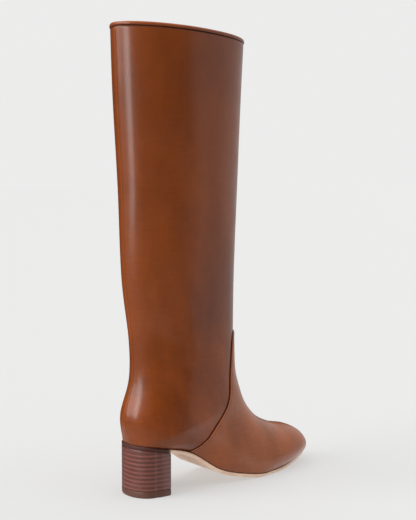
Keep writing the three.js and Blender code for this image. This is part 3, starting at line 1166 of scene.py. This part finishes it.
@dataclass
class Stitching(Piece):
    """Rows of small thread stitches beside the seams."""

    pitch: float = 3.0
    long: float = 2.1
    thick: float = 0.42
    round_steps: int = 6
    length_steps: int = 5
    bow: float = 0.12
    sunk: float = 0.02
    blunt: float = 0.02
    from_lap: float = 2.6
    from_cut: float = 2.3

    def row(self, name: str, line: Array, outwards: Array, thread: bpy.types.Material, slot: str) -> None:
        """Lays stitches at an even pitch along a line.

        Each stitch is a spindle: its radius is the sine of the way along it to the power a half, and
        it bows out of the leather by the same sine.

        Args:
            name: The row's name.
            line: Points of the line, in mm.
            outwards: Directions out of the leather at those points.
            thread: The thread's finish.
            slot: The record's slot that it belongs to.
        """
        run = run_along(line)
        count = int(run[-1] / self.pitch)
        at = (np.arange(count) + 0.5) * self.pitch

        def along(values: Array, place: Array) -> Array:
            """Values at distances along the line."""
            return np.stack([np.interp(place, run, values[:, axis]) for axis in range(3)], -1)

        centre, out = along(line, at), along(outwards, at)
        ahead = along(line, at + 0.5) - along(line, at - 0.5)
        ahead /= np.linalg.norm(ahead, axis=1, keepdims=True)
        out -= (out * ahead).sum(1, keepdims=True) * ahead
        out /= np.linalg.norm(out, axis=1, keepdims=True)
        across = np.cross(ahead, out)
        angle = np.arange(self.round_steps) * 2 * math.pi / self.round_steps
        hoop = np.stack([np.zeros(len(angle)), np.cos(angle), np.sin(angle)], 1)
        v = np.linspace(self.blunt, math.pi - self.blunt, self.length_steps)
        radius = np.pad(self.thick / 2 * np.sin(v) ** 0.5, 1)  # no radius at either end, which closes it
        v = np.pad(v, 1, mode="edge")
        rings = len(v)
        core = np.stack([-np.cos(v) * self.long / 2, np.zeros(rings), self.bow * np.sin(v) - self.sunk], 1)
        stitch = core[:, None] + radius[:, None, None] * hoop
        turned = np.einsum("rak,skx->srax", stitch, np.stack([ahead, across, out], 1)) + centre[:, None, None]
        one = grid_quads(rings, self.round_steps, wrap=True)
        quads = (one[None] + (np.arange(count) * rings * self.round_steps)[:, None, None]).reshape(-1, 4)
        self.dress(make_piece(name, turned, quads), thread, slot)

    def build(self, seam: VampSeam, thread: bpy.types.Material, shaft: Shaft, vamp: Vamp) -> None:
        """Sews the back seam beside its lapped edge, and the vamp inside its cut edge.

        Args:
            seam: The vamp's seam.
            thread: The thread's finish.
            shaft: Gives the height of the back lap.
            vamp: Gives the height of the vamp.
        """
        t = np.linspace(self.last.collar + 0.06, self.last.heel - 0.25, 400)
        side = np.full(t.shape, -1 + self.from_lap / shaft.half_girth)
        line = self.last.skin(t, side, shaft.lap_high)
        self.row("back_seam_stitches", line, self.last.skin(t, side, 3.0) - line, thread, "shaft_leather")
        side = np.linspace(-0.985, 0.985, 900)
        t = seam.at(side) + self.from_cut * seam.per_mm(side)
        line = self.last.skin(t, side, vamp.lap + vamp.thick - 0.02)
        self.row("vamp_stitches", line, self.last.skin(t, side, 4.0) - line, thread, "vamp_leather")


@dataclass
class FootPlate(Piece):
    """A plate that follows the feather line: a rounded edge carried round its outline in plan."""

    steps: int = 150
    spokes: int = 9
    at_ends: float = 0.72

    def stations(self, margin: Array, t: Array) -> tuple[Array, Array, Array, Array, Array]:
        """Edges of the plate at sections of the foot.

        Args:
            margin: Growth past the feather line at each section.
            t: The sections.

        Returns:
            x, y on the outer side, y on the inner side, z of the feather line, and the factor that
            turns a thickness square to the sole into a height.
        """
        s = self.last.grown(t, margin)
        normal = self.last.line_normal(np.maximum(t, self.last.heel + 0.1), Size.BACK_X, Size.BACK_Z, 1)
        x0, y0, _ = self.last.origin
        middle = s[:, Size.MID] - y0
        outer = middle - np.maximum(s[:, Size.FOOT_OUTER], 0)
        inner = middle + np.maximum(s[:, Size.FOOT_INNER], 0)
        return s[:, Size.BACK_X] - x0, outer, inner, s[:, Size.BACK_Z], 1 / np.abs(normal[1])

    def foot_steps(self) -> Array:
        """Sections from heel to toe, closer together at both rounded ends.

        Returns:
            The sections, in order.
        """
        even = np.linspace(0, 1, self.steps)
        share = self.at_ends * (0.5 - 0.5 * np.cos(math.pi * even)) + (1 - self.at_ends) * even
        return self.last.heel + share * (self.last.tip - self.last.heel)

    def way_round(self, x: Array, outer: Array, inner: Array, shared: int) -> tuple[Array, Array, Array]:
        """The outline of a plate: along its outer edge and back along its inner one.

        Args:
            x: Sections of the plate.
            outer: y of its outer edge at them.
            inner: y of its inner edge.
            shared: 1 where both edges meet in a point at heel and toe, or else 0.

        Returns:
            The section of each point, the outline, and the y of the plate's middle at each point.
        """
        count = len(x)
        order = np.concatenate([np.arange(count), np.arange(count - 1 - shared, shared - 1, -1)])
        y = np.where(np.arange(len(order)) < count, outer[order], inner[order])
        return order, np.stack([x[order], y], 1), ((outer + inner) / 2)[order]

    def loaf(self, loop: Array, insets: Array, levels: Array, z_low: Array, z_high: Array,
             spine: Array) -> tuple[Array, Array, Array]:
        """A plate from its outline: rings from the middle of the underside to the middle of the top.

        Args:
            loop: Outline in plan, anticlockwise or clockwise, one (x, y) for each point.
            insets: How far each edge ring lies inside the outline, from below to above.
            levels: Share of the thickness at which each edge ring lies.
            z_low: Height of the underside round the outline.
            z_high: Height of the top round the outline.
            spine: y of the middle of the plate at each point of the outline.

        Returns:
            Points, faces, and the share of the way from the spine to the edge at each point.
        """
        ahead = np.roll(loop, -1, 0) - np.roll(loop, 1, 0)
        long = np.linalg.norm(ahead, axis=1, keepdims=True)
        inward = np.stack([-ahead[:, 1], ahead[:, 0]], 1) / np.maximum(long, 1e-9)
        following = np.roll(loop, -1, 0)
        area = (loop[:, 0] * following[:, 1] - following[:, 0] * loop[:, 1]).sum()
        inward *= 1 if area > 0 else -1
        edge = loop[None] + insets[:, None, None] * inward[None]
        z = z_low[None] + levels[:, None] * (z_high - z_low)[None]
        edge = np.concatenate([edge, z[..., None]], -1)
        share = np.linspace(0, 1, self.spokes)[:-1, None]

        def disc(ring: Array) -> Array:
            """Rings that shrink across the plate from its edge to its spine.

            Args:
                ring: The edge, one point in a row.

            Returns:
                The rings, from the spine outwards.
            """
            y = spine[None] + share * (ring[:, 1] - spine)[None]
            x, z = (np.broadcast_to(ring[:, axis], y.shape) for axis in (0, 2))
            return np.stack([x, y, z], -1)

        rings = np.concatenate([disc(edge[0]), edge, disc(edge[-1])[::-1]])
        outwards = np.concatenate([share[:, 0], np.ones(len(edge)), share[::-1, 0]])
        return rings, grid_quads(len(rings), len(loop), wrap=True), outwards


@dataclass
class Sole(FootPlate):
    """Outsole: thin, close to the heel seat, wider from the waist on, with a rounded natural edge."""

    thick: float = 3.6
    gap: float = 0.3
    margin: float = 2.4
    seat_margin: float = 1.0
    edge_round: float = 0.9
    edge_share: float = 0.27
    edge_steps: int = 6
    # Rings at the top of the edge that are darkened with painted shade under the upper.
    shaded_top_rings: int = 4

    def margins(self, t: Array) -> Array:
        """How far the sole stands out, rising smoothly from the seat to the waist."""
        return self.seat_margin + (self.margin - self.seat_margin) * rise(t, self.last.seat, self.last.seat + 1)

    def build(self, finish: bpy.types.Material) -> None:
        """Builds the outsole.

        Args:
            finish: Its finish.
        """
        t = self.foot_steps()
        x, outer, inner, z, steep = self.stations(self.margins(t), t)
        top, low = z - self.gap * steep, np.maximum(z - (self.gap + self.thick) * steep, 0)
        order, loop, spine = self.way_round(x, outer, inner, 1)
        turn = np.linspace(0, math.pi / 2, self.edge_steps)
        sine, cosine = 1 - np.sin(turn), 1 - np.cos(turn)
        insets = self.edge_round * np.concatenate([sine, cosine])
        levels = np.concatenate([self.edge_share * cosine, 1 - self.edge_share * sine])
        points, quads, outwards = self.loaf(loop, insets, levels, low[order], top[order], spine)
        seat = 1 - rise(t[order], self.last.seat + 0.36, self.last.seat + 0.44)
        last_edge_ring = self.spokes + len(insets) - 1
        above = rise(np.arange(len(points)), last_edge_ring - self.shaded_top_rings, last_edge_ring)
        # A darker heel seat, and painted shade along the top of the edge, under the upper.
        marks = {Mark.STAIN_AND_SHADE: np.maximum(seat[None, :] * (outwards > 0.5)[:, None], 0.6 * above[:, None])}
        self.dress(make_piece("outsole_leather", points, quads, marks), finish, "sole_leather", "outsole")


@dataclass
class Sock(FootPlate):
    """Insole with its leather sock, between the walls."""

    slack: float = 3.4
    thick: float = 2.4
    narrowest: float = 0.5

    def build(self, finish: bpy.types.Material) -> None:
        """Builds the sock.

        Args:
            finish: Its finish.
        """
        t = self.foot_steps()
        x, outer, inner, z, steep = self.stations(np.full(len(t), -self.slack), t)
        keep = (inner - outer) > self.narrowest
        x, outer, inner, z, steep = (a[keep] for a in (x, outer, inner, z, steep))
        order, loop, spine = self.way_round(x, outer, inner, 0)
        insets, levels = np.array([0.3, 0.0, 0.0, 0.35]), np.array([0.0, 0.2, 0.75, 1.0])
        top = z + self.thick * steep
        points, quads, _ = self.loaf(loop, insets, levels, z[order], top[order], spine)
        self.dress(make_piece("sock", points, quads), finish, "insole_leather", "insole")


@dataclass
class Heel(FootPlate):
    """The block heel: a stack of lifts with a flat front, on a rubber tip."""

    long: float = 36.0
    tip_thick: float = 6.5
    gap: float = 0.3
    pitch: float = 4.25
    groove: float = 0.1
    groove_wide: float = 0.35
    side_steps: int = 300
    breast_steps: int = 100
    stack_steps: int = 150
    loop_points: int = 200

    def outline(self, sole: Sole) -> tuple[Array, Array, Array]:
        """Outline of the heel in plan: the round of the seat, closed by a straight breast.

        The corners at the breast are eased by averaging each point with its neighbours.

        Args:
            sole: The outsole that it stands under.

        Returns:
            The outline, and x with z of the underside of the sole from the back to the breast.
        """
        t = np.linspace(self.last.heel, self.last.seat + 1, 400)
        x, outer, inner, z, steep = sole.stations(sole.margins(t), t)
        under = z - (sole.gap + sole.thick) * steep
        breast = x[0] + self.long
        flank = np.linspace(0, 1, self.side_steps)
        at = x[0] + (breast - x[0]) * flank**2
        right, left = np.interp(at, x, outer), np.interp(at, x, inner)
        front = np.linspace(left[-1], right[-1], self.breast_steps)[1:]
        line = np.concatenate([
            np.stack([at[::-1], right[::-1]], 1),
            np.stack([at[1:], left[1:]], 1),
            np.stack([np.full_like(front, breast), front], 1),
        ])
        run = run_along(line)
        want = np.linspace(0, run[-1], self.loop_points, endpoint=False)
        loop = np.stack([np.interp(want, run, line[:, axis]) for axis in range(2)], 1)
        for _ in range(2):
            loop = (np.roll(loop, 1, 0) + 2 * loop + np.roll(loop, -1, 0)) / 4
        return loop, x, under

    def block(self, name: str, loop: Array, insets: Array, levels: Array, low: Array, high: Array,
              finish: bpy.types.Material, slot: str, node: str, stain_and_shade: Array) -> None:
        """A block between two heights on the heel's outline, with its rings given from below.

        Args:
            name: The piece's name.
            loop: The outline.
            insets: How far each ring lies inside the outline.
            levels: Height of each ring as a share.
            low: Height of the foot round the outline.
            high: Height of the top round the outline.
            finish: Its finish.
            slot: The record's slot.
            node: The CAD node that it replaces.
            stain_and_shade: How much each edge ring darkens.
        """
        spine = np.full(len(loop), loop[:, 1].mean())
        points, quads, _ = self.loaf(loop, insets, levels, low, high, spine)
        rings = np.pad(stain_and_shade, self.spokes - 1, mode="edge")
        marks = {Mark.STAIN_AND_SHADE: np.broadcast_to(rings[:, None], points.shape[:2])}
        self.dress(make_piece(name, points, quads, marks), finish, slot, node)

    def build(self, sole: Sole, stack: bpy.types.Material, rubber: bpy.types.Material) -> None:
        """Builds the stack and the tip.

        Args:
            sole: The outsole that they stand under.
            stack: Finish of the lifts.
            rubber: Finish of the tip.
        """
        loop, x, under = self.outline(sole)
        level = np.ones(len(loop))
        high = np.interp(loop[:, 0], x, under) - self.gap
        base = self.tip_thick + self.gap
        levels = np.concatenate([[0, 0.008], np.linspace(0.016, 0.984, self.stack_steps), [0.992, 1]])
        above_tip = levels * (high.mean() - base)
        joint = np.abs((above_tip + self.pitch / 2) % self.pitch - self.pitch / 2)
        insets = self.groove * bell(joint, self.groove_wide)
        insets[0], insets[-1] = 0.45, 0.3
        # The top of the stack turns darker towards the sole.
        stain_and_shade = rise(levels, 0.9, 1.0) * 0.8
        self.block("heel_lifts", loop, insets, levels, base * level, high, stack, "heel_stack", "heel_stack",
                   stain_and_shade)
        levels = np.array([0, 0.03, 0.08, 0.16, 0.5, 0.9, 0.97, 1.0])
        insets = np.array([0.7, 0.35, 0.12, 0.0, 0.0, 0.0, 0.1, 0.35])
        self.block("heel_tip_rubber", loop, insets, levels, 0 * level, self.tip_thick * level, rubber,
                   "heel_rubber", "heel_tip", np.zeros(len(levels)))


# ---- studio ---------------------------------------------------------------------------------------


@dataclass(frozen=True)
class Panel:
    """A soft patch of light in the room, round a direction.

    It rises from low to high as the cosine of the angle to that direction goes from start to end.
    """

    turn: float  # degrees to the right of the view
    tilt: float  # degrees above level
    start: float
    end: float
    low: float
    high: float


@dataclass(frozen=True)
class Lamp:
    """An area lamp with a size in metres, or a sun that covers an angle in degrees."""

    name: str
    kind: str
    at: Triple
    power: float
    size: tuple[float, float] = (1, 1)
    aim: Triple = (0, 0, 0.2)
    angle: float = 30.0

    def hang(self) -> bpy.types.Object:
        """Adds the lamp to the scene, turned to look at its aim.

        Returns:
            The lamp.
        """
        data = bpy.data.lights.new(self.name, self.kind)
        data.energy = self.power
        if self.kind == "AREA":
            data.shape, data.size, data.size_y = "RECTANGLE", *self.size
        else:
            data.angle = math.radians(self.angle)
        lamp = bpy.data.objects.new(self.name, data)
        lamp.location = self.at
        x, y, z = np.array(self.aim) - np.array(self.at)
        lamp.rotation_euler = (math.atan2(math.hypot(x, y), -z), 0, math.atan2(-x, y))
        bpy.context.scene.collection.objects.link(lamp)
        return lamp


@dataclass(frozen=True)
class Studio:
    """Pale floor, soft light and the camera."""

    camera_at: Triple = (-0.693, -0.868, 0.3144)
    azimuth: float = -38.1
    down: float = 4.2
    lens: float = 72.65
    sensor: float = 36.0
    floor_white: float = 0.30
    floor_glow: float = 0.43
    pale: float = 0.84
    floor_half: float = 60.0
    panels: tuple[Panel, ...] = (
        Panel(68, 8, 0.50, 0.66, 0.03, 0.75),
        Panel(0, 90, 0.45, 0.95, 0.0, 1.7),
        Panel(0, -90, 0.20, 0.45, 0.0, 0.6),
    )
    window: Lamp = Lamp("window", "AREA", (-2.1, -0.35, 0.70), 16, (0.45, 1.2), (0, 0, 0.32))
    key: Lamp = Lamp("soft_key", "SUN", (-2.4, 0.75, 1.45), 2.3, angle=50)

    def floor(self) -> None:
        """A wide floor that glows a little, so that it stays even out to the horizon."""
        side = np.linspace(-1, 1, 3) * self.floor_half
        points = np.stack(np.meshgrid(side, side, [0.0], indexing="ij"), -1).reshape(-1, 3)
        mesh = bpy.data.meshes.new("floor")
        mesh.from_pydata(points.tolist(), [], grid_quads(3, 3)[:, ::-1].tolist())
        floor = bpy.data.objects.new("floor", mesh)
        bpy.context.scene.collection.objects.link(floor)
        s = Shader("studio_floor")
        white = np.full(3, self.floor_white)
        colour = s.ramp(s.noise(3, detail=2), [(0.2, tuple(white)), (0.8, tuple(0.995 * white))])
        s.set(Base_Color=colour, Roughness=0.9, Specular_IOR_Level=0.1,
              Emission_Strength=self.floor_glow, Emission_Color=(1.0, 1.0, 0.99, 1))
        mesh.materials.append(s.material)
        floor.visible_glossy = False

    def sky(self) -> None:
        """Room light: pale above, below and to the right of the view, and plain where it is seen."""
        world = bpy.data.worlds.new("room")
        bpy.context.scene.world = world
        world.use_nodes = True
        n = Nodes(world.node_tree)
        place = n.add("TexCoord").outputs["Generated"]
        total = 0.0
        for panel in self.panels:
            toward, tilt = math.radians(self.azimuth - panel.turn), math.radians(panel.tilt)
            level = math.cos(tilt)
            dot = n.add("VectorMath")
            dot.operation = "DOT_PRODUCT"
            n.feed(dot.inputs[0], place)
            n.feed(dot.inputs[1], (-math.sin(toward) * level, math.cos(toward) * level, math.sin(tilt)))
            glow = n.spread(dot.outputs["Value"], panel.low, panel.high, panel.start, panel.end, "SMOOTHSTEP")
            total = n.reckon("ADD", total, glow)
        seen = n.add("LightPath").outputs["Is Camera Ray"]
        pick = n.add("Mix")
        for socket, value in zip((0, 2, 3), (seen, total, self.pale)):
            n.feed(pick.inputs[socket], value)
        n.fill(n.tree.nodes["Background"], Strength=pick.outputs[0], Color=(1, 1, 0.995, 1))

    def camera(self) -> None:
        """Adds the camera."""
        data = bpy.data.cameras.new("camera")
        data.sensor_fit = "VERTICAL"
        data.sensor_height = self.sensor
        data.lens = self.lens
        data.clip_end = 200
        camera = bpy.data.objects.new("camera", data)
        camera.location = self.camera_at
        camera.rotation_euler = (math.radians(90 - self.down), 0, math.radians(self.azimuth))
        bpy.context.scene.collection.objects.link(camera)
        bpy.context.scene.camera = camera

    def build(self, pieces: list[bpy.types.Object]) -> None:
        """Builds the floor, the lights and the camera.

        Args:
            pieces: What the window lights; the floor keeps to the even light of the room.
        """
        bpy.context.scene.view_settings.view_transform = "Standard"
        self.floor()
        self.sky()
        lit = bpy.data.collections.new("lit_by_window")
        for piece in pieces:
            lit.objects.link(piece)
        self.window.hang().light_linking.receiver_collection = lit
        self.key.hang()
        self.camera()


# ---- the boot -------------------------------------------------------------------------------------


def main() -> None:
    """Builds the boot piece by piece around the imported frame, then the studio."""
    logging.basicConfig(level=logging.INFO, format="%(name)s: %(message)s")
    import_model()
    last = Last()
    seam = VampSeam(last)
    leather = BurnishedLeather("shaft_calf").make()
    # The vamp's copy of the calf has lighter tones: painted light on the top of the foot, which faces the light
    # from above.
    vamp_leather = BurnishedLeather(
        "vamp_calf_painted_light", light=tone(162, 88, 43), middle=tone(148, 77, 36), dark=tone(124, 62, 27)
    ).make()
    strip = BurnishedLeather(
        "binding_calf", light=tone(156, 78, 30), middle=tone(138, 64, 22), roughness=0.42
    ).make()
    lining = PlainHide("lining_hide", tone(176, 128, 92), tone(194, 148, 110)).make()
    sock_hide = PlainHide("sock_hide", tone(168, 118, 82), tone(188, 140, 102), roughness=0.6).make()
    thread = PlainHide(
        "waxed_thread", tone(92, 46, 24), tone(112, 58, 30), roughness=0.5, grain=2400
    ).make()
    rubber = PlainHide(
        "heel_rubber", tone(84, 52, 42), tone(96, 60, 48), roughness=0.45, relief=0.00003, glaze=0.2
    ).make()

    shaft, vamp, binding, stitching = Shaft(last), Vamp(last), Binding(last), Stitching(last)
    sock, sole, heel = Sock(last), Sole(last), Heel(last)
    shaft.build(seam, leather, lining)
    vamp.build(seam, vamp_leather)
    binding.build(strip)
    stitching.build(seam, thread, shaft, vamp)
    sock.build(sock_hide)
    sole.build(SoleLeather().make())
    heel.build(sole, StackedLifts("lifts", heel.pitch, heel.tip_thick + heel.gap).make(), rubber)
    parts = (shaft, vamp, binding, stitching, sock, sole, heel)
    Studio().build([piece for part in parts for piece in part.made])


if __name__ == "__main__":
    main()
